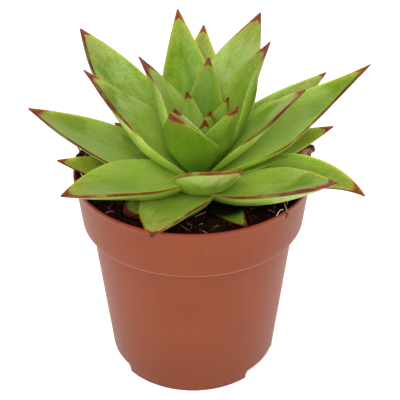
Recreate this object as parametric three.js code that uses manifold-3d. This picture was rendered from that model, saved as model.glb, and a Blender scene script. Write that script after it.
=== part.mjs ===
// Potted succulent: a rosette of pointed, fleshy leaves in a thin-walled plastic nursery pot.
// Units are millimetres and degrees, +Z is up, and the origin is on the ground under the pot's middle.
// The front of the plant faces -Y.
import * as THREE from 'three';
import { mergeVertices } from 'three/addons/utils/BufferGeometryUtils.js';
import Module from 'manifold-3d';

const wasm = await Module();
wasm.setup();

// Clearance between pieces that touch in life.
const GAP = 0.3;
// Looser clearance of what lies in the peat.
const BED_GAP = 0.5;
// Points nearer to each other than this are one point.
const WELD = 1e-4;

// Pot: a standard 10.5 cm nursery pot.
const LIP_RADIUS = 52.7;
const POT_HEIGHT = 97;
const WALL = 1.1;
const LIP_ROLL = 0.9;
// The lip's rounded top: how far it comes in, first near its outside and then on top.
const LIP_ROUNDING = 0.2;
const LIP_CROWN = 0.6;
const BAND_HEIGHT = 23.4;
const BAND_FOOT_RADIUS = 49.7;
const BODY_TOP_RADIUS = 46;
const FOOT_RADIUS = 38.2;
const FLOOR_DISC_RADIUS = 22;
const CHANNEL_RADIUS = 25;
const CHANNEL_HEIGHT = 5;
const POT_SIDES = 40;
const LEDGE_HEIGHT = POT_HEIGHT - BAND_HEIGHT;

// Cut-outs in the foot ring, and the drain holes in the channel above them.
const NOTCH_TURNS = [-160, -31, 85];
const NOTCH_SPAN = 40;
const NOTCH_HEIGHT = 4.5;
// How far the notch cutter reaches past the foot's wall, and below it.
const CUTTER_REACH = 3;
const CUTTER_DROP = 1;
const HOLE_COUNT = 6;
const HOLE_RADIUS = 3;
const HOLE_PLACE = (CHANNEL_RADIUS + FOOT_RADIUS - WALL) / 2;
const HOLE_SIDES = 8;

// Soil: level at the middle, how far it stays off the pot, and its heap against the lip at the back left.
const SOIL_LEVEL = 88.5;
const SOIL_SLACK = 0.3;
const SOIL_ROUGHNESS = 0.9;
// Waves of its surface, as radians per millimetre along x and y, and the share of the shorter ones.
const LONG_WAVES = [0.33, 0.29];
const SHORT_WAVES = [0.71, 0.53];
const SHORT_SHARE = 0.6;
const WAVE_START = 1.1;
const SOIL_RINGS = 6;
const SOIL_SIDES = 28;
// How far below its level the soil's side ends, and where the edge of its surface is measured.
const SIDE_DROP = 4;
const EDGE_DROP = 2;
const HEAP_TURN = 162;
const HEAP_RADIUS = 44.5;
const HEAP_SPREAD = 9;
const HEAP_HEIGHT = 12;

// Stem: [radius, height] from its cut end in the soil up to its growing point.
const PLANT_X = 3;
const STEM_SIDES = 14;
const STEM_OUTLINE = [
  [5.5, 62],
  [7, 80],
  [6.5, 92],
  [5.2, 102],
  [4.3, 108.5],
  [3, 111],
];

// Leaves, from the oldest and lowest to the youngest.
// turn: direction seen from above, from +X towards +Y.  rise: slope where the leaf leaves the stem.
// seat: height of that place.
// bend: change of slope out to the tip, gathered near the tip by a higher bendPower.
// drift: change of direction out to the tip.  twist: roll about the leaf's own midrib.
// plump: how much thicker than usual.  blunt: a higher power than usual rounds the tip off.
const LEAF_ROWS = [
  { turn: -139, rise: 6, length: 38, width: 16, seat: 87, plump: 1.6, blunt: 4 },
  { turn: -67, rise: 3, length: 40, width: 17, seat: 88, bend: 8, drift: 6, twist: -5 },
  { turn: 62, rise: 12, length: 54, width: 26, seat: 90 },
  { turn: 116, rise: 12, length: 56, width: 26, seat: 90 },
  { turn: 180.7, rise: 15.8, length: 60, width: 24, seat: 85.5, bend: -3, drift: -3, twist: -5, blunt: 1.7 },
  { turn: -110, rise: 16, length: 59.5, width: 31, seat: 89, bend: -10, drift: 4.5, twist: 15, blunt: 1.65 },
  { turn: 11.5, rise: 18.3, length: 59.3, width: 20, seat: 92, drift: 1, twist: 8, blunt: 1.6 },
  { turn: 40, rise: 14, length: 56, width: 26, seat: 91 },
  { turn: 144, rise: 16, length: 45, width: 24, seat: 92 },
  { turn: 90, rise: 20, length: 60, width: 28, seat: 92 },
  { turn: -18.5, rise: 23.7, length: 74, width: 30, seat: 87, bend: -52, bendPower: 3, drift: -10.5,
    twist: 7 },
  { turn: 169.7, rise: 21.8, length: 79, width: 32.5, seat: 88.5, bend: -0.5, drift: -6, twist: 4.5, plump: 0.7,
    blunt: 1.9 },
  { turn: 70, rise: 28, length: 62, width: 28, seat: 94 },
  { turn: 122, rise: 24, length: 58, width: 28, seat: 94 },
  { turn: 32, rise: 28, length: 71.5, width: 26.5, seat: 94, bend: -4.7, drift: 1, twist: -1, blunt: 1.5 },
  { turn: -143.5, rise: 14.5, length: 67, width: 31.5, seat: 95.5, bend: -6.5, drift: 1, twist: 1, plump: 1.25,
    blunt: 1.65 },
  { turn: 90.5, rise: 37.7, length: 72, width: 29, seat: 95, bend: -3, drift: -6, twist: 5, blunt: 1.2 },
  { turn: -43.5, rise: 19.5, length: 77.5, width: 33, seat: 90, bend: 12, drift: -4, twist: 0, blunt: 1.5 },
  { turn: 11, rise: 27.7, length: 83.7, width: 35, seat: 96, bend: 7.4, drift: 4.5, twist: 5.6, plump: 0.95,
    blunt: 0.9 },
  { turn: 150, rise: 39, length: 79, width: 33, seat: 95, bend: 9, drift: -7, twist: 3, blunt: 1.9 },
  { turn: 60, rise: 53.2, length: 71, width: 32.5, seat: 98, bend: -6, drift: -8, twist: -5, blunt: 1.5 },
  { turn: 102.5, rise: 50.4, length: 69.5, width: 26.5, seat: 98, bend: 2.5, drift: -2.5, twist: 3,
    blunt: 1.25 },
  { turn: 180.2, rise: 47.9, length: 66, width: 30.8, seat: 96, bend: 2, drift: 2.8, twist: -6.6, plump: 1.2,
    blunt: 1 },
  { turn: -85, rise: 42, length: 59, width: 29.5, seat: 88, bend: -9, drift: 29, twist: -12 },
  { turn: -13.9, rise: 48.6, length: 59.8, width: 29, seat: 97, bend: -2, drift: -2.7, twist: 1, plump: 0.6,
    blunt: 1.7 },
  { turn: 154, rise: 69, length: 50, width: 30, seat: 102, bend: -15.5, drift: 9, twist: 19, plump: 1.25 },
  { turn: 35.5, rise: 60.3, length: 56.5, width: 31, seat: 102, bend: -9, drift: -9, twist: -20, plump: 1.45,
    blunt: 1.25 },
  { turn: 78, rise: 65, length: 41, width: 17, seat: 103, bend: 2, drift: 2 },
  { turn: -106.2, rise: 59.5, length: 51.3, width: 26.5, seat: 100, bend: -12.3, drift: -8, twist: -10,
    plump: 1.4, blunt: 1.1 },
  { turn: -55.4, rise: 63.3, length: 43.2, width: 16.8, seat: 102, bend: -9.7, drift: 1.5, twist: -7.3,
    plump: 1.2, blunt: 1 },
  { turn: -116.3, rise: 61.7, length: 38.3, width: 18.5, seat: 104, bend: -1.3, drift: 2, twist: -4.3,
    blunt: 1.5 },
  { turn: 124, rise: 80, length: 25, width: 13, seat: 106, bend: -1, drift: 3, twist: 6 },
  { turn: 21, rise: 70, length: 25, width: 14, seat: 106 },
  { turn: -71, rise: 82.8, length: 14.6, width: 7, seat: 110 },
  { turn: 44, rise: 82, length: 12, width: 7, seat: 111 },
];

// Shape that every leaf shares.
const LEAF_START = 2;
const LEAF_SEAT_RADIUS = 5;
const WIDEST_AT = 0.42;
const BASE_WIDTH = 0.5;
const TIP_POWER = 1.4;
const THICKNESS = 0.09;
const THICKEST_AT = 0.35;
const BASE_THICKNESS = 0.55;
const THIN_POWER = 1.25;
// The underside: a keel, and flanks that leave the margin steeply.
const KEEL_POWER = 2.2;
const FLANK_POWER = 0.7;
const HOLLOW = 0.18;
const BEND_POWER = 1.4;
// The roll is complete at this share of the length.
const TWIST_END = 2 / 3;
const MIDRIB_STEPS = 40;
const LEAF_STATIONS = 8;
const LAST_STATION = 0.96;
const UPPER_PLACES = [-1, -0.4, 0.4, 1];
const LOWER_PLACES = [0.82, 0.3, -0.3, -0.82];
// How many clearances a sharp margin and a sharp tip stand off.
const MARGIN_ROOM = 1.6;
const TIP_ROOM = 4;

// Bark chip: a wedge that leans out of the peat against the lip.
// Stations: [height along the chip, half thickness, half width, shift outwards]; corners share them.
const CHIP_STATIONS = [
  [0, 1.2, 2.4, 0],
  [5, 2.2, 3.6, 0.2],
  [11, 2.4, 3.9, 0],
  [14, 2.5, 3.7, 1.2],
  [18.5, 1.6, 2.2, 3.4],
];
const CHIP_CORNERS = [[1, -0.7], [1, 0.5], [0.1, 1], [-0.9, 0.6], [-1, -0.6], [-0.2, -1]];
const CHIP_RADIUS = 42.5;
const CHIP_FOOT = 87.5;
const CHIP_LEAN = 28;
const CHIP_TURN = 10.5;

const LEAF_GREEN = '#6f9a35';
const POT_TERRACOTTA = '#a3553c';
const PEAT = '#1d1613';
const BARK = '#5b3a2a';
const STEM_BROWN = '#6d6a3a';

const radians = THREE.MathUtils.degToRad;

function finish(color, roughness) {
  return new THREE.MeshStandardMaterial({ color, roughness, metalness: 0 });
}

function toSolid(geometry) {
  const bare = geometry.clone();
  bare.deleteAttribute('normal');
  bare.deleteAttribute('uv');
  const merged = mergeVertices(bare, WELD);
  return new wasm.Manifold(new wasm.Mesh({
    numProp: 3,
    vertProperties: new Float32Array(merged.attributes.position.array),
    triVerts: new Uint32Array(merged.index.array),
  }));
}

function toGeometry(solid) {
  const mesh = solid.getMesh();
  const geometry = new THREE.BufferGeometry();
  geometry.setAttribute('position', new THREE.BufferAttribute(mesh.vertProperties, 3));
  geometry.setIndex(new THREE.BufferAttribute(mesh.triVerts, 1));
  return geometry;
}

function largestPiece(solid) {
  const pieces = solid.decompose();
  return pieces.reduce((best, piece) => (piece.volume() > best.volume() ? piece : best));
}

function boxesMeet(a, b) {
  const boxA = a.boundingBox();
  const boxB = b.boundingBox();
  return [0, 1, 2].every((k) => boxA.min[k] < boxB.max[k] && boxB.min[k] < boxA.max[k]);
}

function cutBy(solid, tools) {
  const near = tools.filter((tool) => boxesMeet(solid, tool));
  return near.reduce((left, tool) => left.subtract(tool), solid);
}

// A closed surface through rings of equal length, closed by a point or a flat cap at each end.
function skinRings(rings, firstPoint, lastPoint) {
  const points = [firstPoint, ...rings.flat(), lastPoint];
  const count = rings[0].length;
  const last = points.length - 1;
  const index = [];
  for (let k = 0; k < count; k += 1) {
    const next = (k + 1) % count;
    index.push(0, 1 + next, 1 + k);
    for (let ring = 0; ring < rings.length - 1; ring += 1) {
      const a = 1 + ring * count;
      const b = a + count;
      index.push(a + k, a + next, b + next, a + k, b + next, b + k);
    }
    const a = 1 + (rings.length - 1) * count;
    index.push(last, a + k, a + next);
  }
  const geometry = new THREE.BufferGeometry();
  geometry.setFromPoints(points);
  geometry.setIndex(index);
  geometry.computeVertexNormals();
  return geometry;
}

function average(points) {
  const sum = points.reduce((total, point) => total.add(point), new THREE.Vector3());
  return sum.divideScalar(points.length);
}

// The same surface pushed out along its normals.
function grown(geometry, distance) {
  const bigger = geometry.clone();
  const place = bigger.attributes.position;
  const normal = bigger.attributes.normal;
  for (let k = 0; k < place.count; k += 1) {
    place.setXYZ(
      k,
      place.getX(k) + distance * normal.getX(k),
      place.getY(k) + distance * normal.getY(k),
      place.getZ(k) + distance * normal.getZ(k),
    );
  }
  return bigger;
}

// Half of the leaf's width, as a share of its widest, from base (0) to tip (1).
function widthShare(row, along) {
  const { blunt = TIP_POWER } = row;
  if (along < WIDEST_AT) {
    return BASE_WIDTH + (1 - BASE_WIDTH) * Math.sin((Math.PI / 2) * (along / WIDEST_AT));
  }
  return 1 - ((along - WIDEST_AT) / (1 - WIDEST_AT)) ** blunt;
}

function thicknessShare(row, along) {
  const { blunt = THIN_POWER } = row;
  if (along < THICKEST_AT) {
    return BASE_THICKNESS + (1 - BASE_THICKNESS) * Math.sin((Math.PI / 2) * (along / THICKEST_AT));
  }
  return 1 - ((along - THICKEST_AT) / (1 - THICKEST_AT)) ** blunt;
}

// The leaf's own axes at a place along it: out to the tip, up from its upper face, and across.
function leafAxes(row, along) {
  const { bend = 0, bendPower = BEND_POWER, drift = 0, twist = 0 } = row;
  const rise = radians(row.rise + bend * along ** bendPower);
  const turn = radians(row.turn + drift * along);
  const out = new THREE.Vector3(
    Math.cos(rise) * Math.cos(turn),
    Math.cos(rise) * Math.sin(turn),
    Math.sin(rise),
  );
  const up = new THREE.Vector3(
    -Math.sin(rise) * Math.cos(turn),
    -Math.sin(rise) * Math.sin(turn),
    Math.cos(rise),
  );
  up.applyAxisAngle(out, radians(twist) * Math.min(1, along / TWIST_END));
  return { out, up, across: out.clone().cross(up) };
}

// Points of the midrib, walked from the stem to the tip in short steps.
function midrib(row, places) {
  const turn = radians(row.turn);
  const start = new THREE.Vector3(
    PLANT_X + LEAF_SEAT_RADIUS * Math.cos(turn),
    LEAF_SEAT_RADIUS * Math.sin(turn),
    row.seat,
  );
  const points = [];
  for (const place of places) {
    const point = start.clone();
    for (let step = 0; step < MIDRIB_STEPS; step += 1) {
      const { out } = leafAxes(row, (place * (step + 0.5)) / MIDRIB_STEPS);
      point.addScaledVector(out, (row.length * place) / MIDRIB_STEPS);
    }
    points.push(point);
  }
  return points;
}

// The leaf's outline across it; a clearance makes it wider and thicker all round.
function leafSection(row, along, centre, clearance) {
  const { up, across } = leafAxes(row, along);
  const { plump = 1 } = row;
  const half = (row.width / 2) * widthShare(row, along);
  const thick = plump * THICKNESS * row.length * thicknessShare(row, along);
  const hollowAt = (place) => HOLLOW * half * place ** 2;
  const depthAt = (place) => thick * (1 - Math.abs(place) ** KEEL_POWER) ** FLANK_POWER;
  const upper = UPPER_PLACES.map((place) => [
    place,
    hollowAt(place) + clearance * (1 - place ** 2 / 2),
  ]);
  const lower = LOWER_PLACES.map((place) => [place, hollowAt(place) - depthAt(place) - clearance]);
  const wide = half + MARGIN_ROOM * clearance;
  return [...upper, ...lower].map(([place, height]) => (
    centre.clone().addScaledVector(across, wide * place).addScaledVector(up, height)
  ));
}

function leafGeometry(row, clearance) {
  const places = [];
  for (let k = 0; k < LEAF_STATIONS; k += 1) {
    places.push((LAST_STATION * k) / (LEAF_STATIONS - 1));
  }
  const centres = midrib(row, [...places, 1]);
  const rings = places.map((place, k) => leafSection(row, place, centres[k], clearance));
  const stemward = LEAF_START - LEAF_SEAT_RADIUS - clearance;
  const root = rings[0].map((point) => point.clone().addScaledVector(leafAxes(row, 0).out, stemward));
  const tip = centres[centres.length - 1].addScaledVector(leafAxes(row, 1).out, TIP_ROOM * clearance);
  return skinRings([root, ...rings], average(root), tip);
}

function latheSolid(outline, sides) {
  const points = outline.map(([radius, height]) => new THREE.Vector2(radius, height));
  return new THREE.LatheGeometry(points, sides).rotateX(Math.PI / 2);
}

function stemOutline(clearance) {
  const [cutRadius, cutHeight] = STEM_OUTLINE[0];
  const [topRadius, topHeight] = STEM_OUTLINE[STEM_OUTLINE.length - 1];
  const side = STEM_OUTLINE.slice(1, -1).map(([radius, height]) => [radius + clearance, height]);
  return [
    [0, cutHeight - clearance],
    [cutRadius + clearance, cutHeight - clearance],
    ...side,
    [topRadius + clearance, topHeight + clearance],
    [0, topHeight + clearance + topRadius / 4],
  ];
}

function stemGeometry(clearance) {
  return latheSolid(stemOutline(clearance), STEM_SIDES).translate(PLANT_X, 0, 0);
}

// Outer radii of the pot's body and band, and of the inside of both, at a height.
function bodyRadius(height) {
  return FOOT_RADIUS + (BODY_TOP_RADIUS - FOOT_RADIUS) * (height / LEDGE_HEIGHT);
}

function bandRadius(height) {
  const share = (height - LEDGE_HEIGHT) / BAND_HEIGHT;
  return BAND_FOOT_RADIUS + (LIP_RADIUS - LIP_ROLL / 2 - BAND_FOOT_RADIUS) * share;
}

function potOutline() {
  const lipBottom = POT_HEIGHT - 2 * LIP_ROLL;
  const lipMiddle = POT_HEIGHT - LIP_ROLL;
  const insideLedge = LEDGE_HEIGHT + WALL;
  const channelTop = CHANNEL_HEIGHT + WALL;
  return [
    [0, 0],
    [FLOOR_DISC_RADIUS, 0],
    [CHANNEL_RADIUS, CHANNEL_HEIGHT],
    [FOOT_RADIUS - WALL, CHANNEL_HEIGHT],
    [FOOT_RADIUS - WALL, 0],
    [FOOT_RADIUS, 0],
    [bodyRadius(LEDGE_HEIGHT), LEDGE_HEIGHT],
    [BAND_FOOT_RADIUS, LEDGE_HEIGHT],
    [bandRadius(lipBottom), lipBottom],
    [LIP_RADIUS, lipMiddle],
    [LIP_RADIUS - LIP_ROUNDING, POT_HEIGHT - LIP_ROUNDING],
    [LIP_RADIUS - LIP_CROWN, POT_HEIGHT],
    [LIP_RADIUS - WALL - LIP_ROUNDING, POT_HEIGHT],
    [bandRadius(lipMiddle) - WALL, lipMiddle],
    [bandRadius(insideLedge) - WALL, insideLedge],
    [bodyRadius(insideLedge) - WALL, insideLedge],
    [bodyRadius(channelTop) - WALL, channelTop],
    [CHANNEL_RADIUS, channelTop],
    [FLOOR_DISC_RADIUS, WALL],
    [0, WALL],
  ];
}

// A slice of a round slab, from one turn to another.
function slice(innerRadius, outerRadius, fromTurn, toTurn, bottom, height) {
  const shape = new THREE.Shape();
  shape.absarc(0, 0, outerRadius, radians(fromTurn), radians(toTurn), false);
  shape.absarc(0, 0, innerRadius, radians(toTurn), radians(fromTurn), true);
  const slab = new THREE.ExtrudeGeometry(shape, { depth: height, bevelEnabled: false, curveSegments: 6 });
  return slab.translate(0, 0, bottom);
}

function makePot() {
  let pot = toSolid(latheSolid(potOutline(), POT_SIDES));
  for (const turn of NOTCH_TURNS) {
    const from = turn - NOTCH_SPAN / 2;
    const [inner, outer] = [FOOT_RADIUS - CUTTER_REACH, FOOT_RADIUS + CUTTER_REACH];
    const cutter = slice(inner, outer, from, from + NOTCH_SPAN, -CUTTER_DROP, NOTCH_HEIGHT + CUTTER_DROP);
    pot = pot.subtract(toSolid(cutter));
  }
  for (let k = 0; k < HOLE_COUNT; k += 1) {
    const turn = radians((360 * (k + 0.5)) / HOLE_COUNT);
    const drill = new THREE.CylinderGeometry(HOLE_RADIUS, HOLE_RADIUS, 4 * WALL, HOLE_SIDES);
    drill.rotateX(Math.PI / 2);
    drill.translate(HOLE_PLACE * Math.cos(turn), HOLE_PLACE * Math.sin(turn), CHANNEL_HEIGHT + WALL / 2);
    pot = pot.subtract(toSolid(drill));
  }
  return pot;
}

// The ring of room that the pot's lip takes, with clearance.
function lipRoom() {
  const bottom = POT_HEIGHT - 4 * LIP_ROLL;
  const lipMiddle = POT_HEIGHT - LIP_ROLL;
  const insideAt = (height) => bandRadius(height) - WALL - GAP;
  const crownInside = LIP_RADIUS - WALL - LIP_ROUNDING;
  const outline = [
    [insideAt(bottom), bottom],
    [LIP_RADIUS + GAP, bottom],
    [LIP_RADIUS + GAP, POT_HEIGHT - LIP_ROLL / 2],
    [LIP_RADIUS - LIP_CROWN, POT_HEIGHT + GAP],
    [crownInside, POT_HEIGHT + GAP],
    [crownInside - GAP, POT_HEIGHT],
    [insideAt(lipMiddle), lipMiddle],
    [insideAt(bottom), bottom],
  ];
  return toSolid(latheSolid(outline, POT_SIDES));
}

// Height of the peat's surface: small bumps, and the heap at the back left.
function soilHeight(x, y) {
  const long = Math.sin(LONG_WAVES[0] * x + WAVE_START) * Math.cos(LONG_WAVES[1] * y);
  const short = Math.sin(SHORT_WAVES[0] * x - SHORT_WAVES[1] * y);
  const heapX = HEAP_RADIUS * Math.cos(radians(HEAP_TURN));
  const heapY = HEAP_RADIUS * Math.sin(radians(HEAP_TURN));
  const away = Math.hypot(x - heapX, y - heapY) / HEAP_SPREAD;
  const heap = HEAP_HEIGHT * Math.exp(-away * away);
  return SOIL_LEVEL + SOIL_ROUGHNESS * (long + SHORT_SHARE * short) + heap;
}

function ring(radius, heightAt) {
  const points = [];
  for (let k = 0; k < SOIL_SIDES; k += 1) {
    const turn = (2 * Math.PI * k) / SOIL_SIDES;
    const x = radius * Math.cos(turn);
    const y = radius * Math.sin(turn);
    points.push(new THREE.Vector3(x, y, heightAt(x, y)));
  }
  return points;
}

function soilGeometry() {
  const floor = WALL + GAP;
  const shelf = CHANNEL_HEIGHT + WALL + GAP;
  const ledge = LEDGE_HEIGHT + WALL + GAP;
  const room = WALL + GAP + SOIL_SLACK;
  const walls = [
    [FLOOR_DISC_RADIUS - 2 * GAP, floor],
    [CHANNEL_RADIUS - GAP, shelf],
    [bodyRadius(shelf) - room, shelf],
    [bodyRadius(ledge) - room, ledge],
    [bandRadius(ledge) - room, ledge],
    [bandRadius(SOIL_LEVEL - SIDE_DROP) - room, SOIL_LEVEL - SIDE_DROP],
  ];
  const rings = walls.map(([radius, height]) => ring(radius, () => height));
  const edge = bandRadius(SOIL_LEVEL - EDGE_DROP) - room;
  for (let k = 0; k < SOIL_RINGS; k += 1) {
    rings.push(ring(edge * (1 - k / SOIL_RINGS), soilHeight));
  }
  const bottom = new THREE.Vector3(0, 0, floor);
  return skinRings(rings, bottom, new THREE.Vector3(0, 0, soilHeight(0, 0)));
}

// An uneven wedge, thinner and narrower at its top, leaning outwards.
function chipGeometry() {
  const rings = CHIP_STATIONS.map(([along, thick, wide, shift]) => CHIP_CORNERS.map(([x, y]) => (
    new THREE.Vector3(x * thick + shift, y * wide, along)
  )));
  const [first, last] = [rings[0], rings[rings.length - 1]];
  const chip = skinRings(rings, average(first), average(last));
  chip.rotateY(radians(CHIP_LEAN));
  chip.translate(CHIP_RADIUS, 0, CHIP_FOOT);
  chip.rotateZ(radians(CHIP_TURN));
  chip.computeVertexNormals();
  return chip;
}

const plant = new THREE.Group();

function addPiece(name, geometry, material) {
  const mesh = new THREE.Mesh(geometry, material);
  mesh.name = name;
  plant.add(mesh);
}

// The youngest leaf keeps its whole shape, and each older one is pressed in by the leaves that lie on it.
const stemRoom = toSolid(stemGeometry(GAP));
const rooms = [stemRoom, lipRoom()];
const leaves = [];
for (const row of LEAF_ROWS.toReversed()) {
  leaves.unshift(largestPiece(cutBy(toSolid(leafGeometry(row, 0)), rooms)));
  rooms.push(toSolid(leafGeometry(row, GAP)));
}

const chip = chipGeometry();
const chipSolid = largestPiece(cutBy(toSolid(chip), rooms));
const leafBeds = LEAF_ROWS.map((row) => toSolid(leafGeometry(row, BED_GAP)));
const soilRooms = [stemRoom, ...leafBeds, toSolid(grown(chip, BED_GAP))];
const soil = largestPiece(cutBy(toSolid(soilGeometry()), soilRooms));

addPiece('pot', toGeometry(makePot()), finish(POT_TERRACOTTA, 0.5));
addPiece('soil', toGeometry(soil), finish(PEAT, 0.95));
addPiece('stem', stemGeometry(0), finish(STEM_BROWN, 0.8));
addPiece('bark_chip', toGeometry(chipSolid), finish(BARK, 0.9));
leaves.forEach((leaf, k) => {
  addPiece(`leaf_${String(k + 1).padStart(2, '0')}`, toGeometry(leaf), finish(LEAF_GREEN, 0.45));
});

export default plant;
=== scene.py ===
# Potted succulent: a rosette of pointed, red-edged, fleshy leaves in a thin plastic nursery pot.
# A piece is shaped in millimetres and degrees, and settle() turns it into metres when it is done.
import math
import random

import bpy
import numpy as np
from mathutils import Matrix, Vector, noise


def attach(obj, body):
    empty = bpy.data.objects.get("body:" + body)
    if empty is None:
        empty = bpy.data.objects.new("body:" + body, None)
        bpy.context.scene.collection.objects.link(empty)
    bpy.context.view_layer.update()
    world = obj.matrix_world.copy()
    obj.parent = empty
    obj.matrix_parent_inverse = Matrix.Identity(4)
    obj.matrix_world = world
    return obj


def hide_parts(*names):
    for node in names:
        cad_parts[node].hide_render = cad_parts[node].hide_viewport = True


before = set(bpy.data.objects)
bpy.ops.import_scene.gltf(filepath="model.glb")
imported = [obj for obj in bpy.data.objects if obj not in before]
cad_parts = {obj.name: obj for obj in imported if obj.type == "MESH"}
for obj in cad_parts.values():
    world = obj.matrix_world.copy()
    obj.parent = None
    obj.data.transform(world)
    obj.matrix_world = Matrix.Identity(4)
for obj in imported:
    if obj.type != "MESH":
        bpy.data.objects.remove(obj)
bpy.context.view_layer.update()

MM = 0.001
CHANCE_SEED = 11

# ---------------- studio
CAMERA_PLACE = (0, -406, 340)
CAMERA_AIM = (3.2, 0, 80)
CAMERA_LENS = 96.3
FILM_WIDTH = 36
FLOOR_WIDTH = 6000
SKY_STRENGTH = 0.72
LIGHT_AIM = (0, 0, 90)
# Place, width and power (watts) of each soft box.
SOFTBOXES = {
    "high_box": ((-150, -600, 800), 700, 3.4),
    "front_box": ((0, -800, 560), 700, 3.6),
    "left_box": ((-700, 100, 250), 500, 1),
    "right_box": ((700, 100, 250), 500, 1.5),
}

# ---------------- pot
LIP_RADIUS = 52.7
POT_HEIGHT = 97
WALL = 1.1
LIP_ROLL = 0.9
LIP_DEPTH = 2.2
BAND_HEIGHT = 23.4
BAND_FOOT_RADIUS = 49.7
BODY_TOP_RADIUS = 46
FOOT_RADIUS = 38.2
FLOOR_DISC_RADIUS = 22
CHANNEL_RADIUS = 25
CHANNEL_HEIGHT = 5
LEDGE_HEIGHT = POT_HEIGHT - BAND_HEIGHT
POT_SIDES = 144
NOTCH_TURNS = (-160, -31, 85)
NOTCH_SPAN = 40
NOTCH_HEIGHT = 4.5
NOTCH_ROUNDING = 1.6
CUTTER_DEPTH = 8
HOLE_COUNT = 6
HOLE_RADIUS = 3
HOLE_SIDES = 24
HOLE_PLACE = (CHANNEL_RADIUS + FOOT_RADIUS - WALL) / 2
POT_SMOOTH_ANGLE = 40

# ---------------- soil
SOIL_LEVEL = 88.5
SOIL_SLACK = 0.6
SOIL_FLOOR_GAP = 0.3
HEAP_TURN = 162
HEAP_RADIUS = 44.5
HEAP_SPREAD = 9
HEAP_HEIGHT = 12
SWELL_HEIGHT = 0.9
CLOD_SIZE = 3.2
CLOD_HEIGHT = 1.1
SOIL_SIDES = 180
SOIL_STEP = 0.9
CRUMB_SHAPES = 4
CRUMB_LUMPINESS = 0.45
CRUMB_FLATNESS = (1, 0.8, 0.65)
CRUMB_COUNT = 700
CRUMB_SIZES = (0.35, 1.1)
CRUMB_REACH = 46.5
SPILLED_COUNT = 90
SPILLED_SIZES = (0.5, 1.1)
SPILLED_TURN = HEAP_TURN + 1
SPILLED_SPREAD = 5
SPILLED_WIDTH = 3.5

# Bark chip that leans out of the peat against the lip.
CHIP_RADIUS = 42.5
CHIP_FOOT = 87.5
CHIP_LEAN = 28
CHIP_TURN = 10.5
CHIP_SMOOTH_ANGLE = 35
CHIP_ROUGHNESS = 0.12
CHIP_TOP_ROUGHNESS = 0.5
# Height, half thickness, half width and drift outward, from its buried foot to its broken top.
CHIP_SECTIONS = (
    (0.2, 1.2, 2.4, 0),
    (5, 2.2, 3.6, 0.2),
    (11, 2.4, 3.9, 0),
    (14, 2.5, 3.7, 1.2),
    (18.5, 1.6, 2.2, 3.4),
)

# Strands that show in the photograph's gaps: points, thickness (radius) and shade, 0 dark to 1 white.
STRANDS = (
    (((38.4, -24.5, 98), (38.3, -28, 97.4), (38.2, -31.5, 97.8), (38.6, -34.4, 98.1), (39.2, -35.8, 96.4)),
     0.24, 0.62),
    (((39.2, -35.6, 96.6), (39, -36.2, 95.3), (38.5, -36.8, 94.4)), 0.42, 0.08),
    (((40.5, -25.5, 97.6), (40, -28.4, 97.1), (39.2, -31, 97.4)), 0.13, 0.7),
    (((34.4, -39.1, 97.3), (35.3, -37.4, 98.1), (36.5, -35.9, 98.2), (37.6, -34.9, 97.5)), 0.15, 0.9),
    (((31.6, -26.1, 92), (33.2, -28, 92.4), (34.8, -29.2, 92)), 0.13, 0.6),
    (((34.4, -22.2, 92), (35.1, -25.3, 92.6), (34.5, -27.6, 92)), 0.12, 0.5),
    (((-37.2, -25.9, 90), (-35.6, -24.8, 90.6), (-33.5, -24.4, 90)), 0.4, 0.42),
    (((-36.7, -20.8, 90), (-35.7, -22.3, 90.6), (-34.8, -23.6, 90)), 0.15, 0.5),
    (((-35.6, -21.3, 90), (-35, -19.6, 90.7), (-34.3, -18.1, 90)), 0.1, 0.5),
    (((0.8, -28.8, 90), (2.7, -27.6, 90.3), (5.5, -25, 90)), 0.1, 0.9),
    (((-5.7, -34.5, 90), (-3.6, -37.2, 90.2), (-1.1, -39.6, 90)), 0.1, 0.7),
    (((-2.7, -33.8, 90), (-1.1, -35, 90.4), (-0.2, -36.5, 90.4), (-1.1, -37.9, 90)), 0.11, 0.55),
    (((3.8, -43.6, 93), (5, -45, 93.3), (6.2, -46, 93)), 0.1, 0.7),
    (((-47.3, 12.4, 98.6), (-47.8, 10.2, 98.9), (-48.5, 8, 98)), 0.16, 0.72),
    (((-49.7, -3.3, 97.3), (-48.6, -6, 97.2), (-47, -9.2, 96.8)), 0.2, 0.85),
    (((-51.8, 13.4, 97.5), (-51.6, 10.6, 98), (-50.9, 8, 97.6)), 0.1, 0.5),
    (((-48.6, 10.5, 97.6), (-50.3, 11.3, 98.4), (-51.4, 12.4, 100.2), (-52.8, 13, 102), (-53.6, 13.4, 103.6)),
     0.34, 0.05),
)
HAIR_ROOT_COUNT = 70
HAIR_ROOT_REACH = 46
HAIR_ROOT_LIMIT = 47
HAIR_ROOT_STEPS = (0.8, 2.2)
HAIR_ROOT_LIFTS = (0.2, 1.2)
HAIR_ROOT_CURL = 0.4
HAIR_ROOT_RADII = (0.05, 0.11)
HAIR_ROOT_SHADES = (0.2, 0.3, 0.4, 0.6, 0.8)

# ---------------- plant
PLANT_X = 3
STEM_OUTLINE = ((5.5, 62), (7, 80), (6.5, 92), (5.2, 102), (4.3, 108.5), (3, 111))
STEM_SIDES = 48
STEM_STEPS = 6
STEM_LUMPINESS = 0.06
SCAR_DEPTH = 0.03

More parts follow.
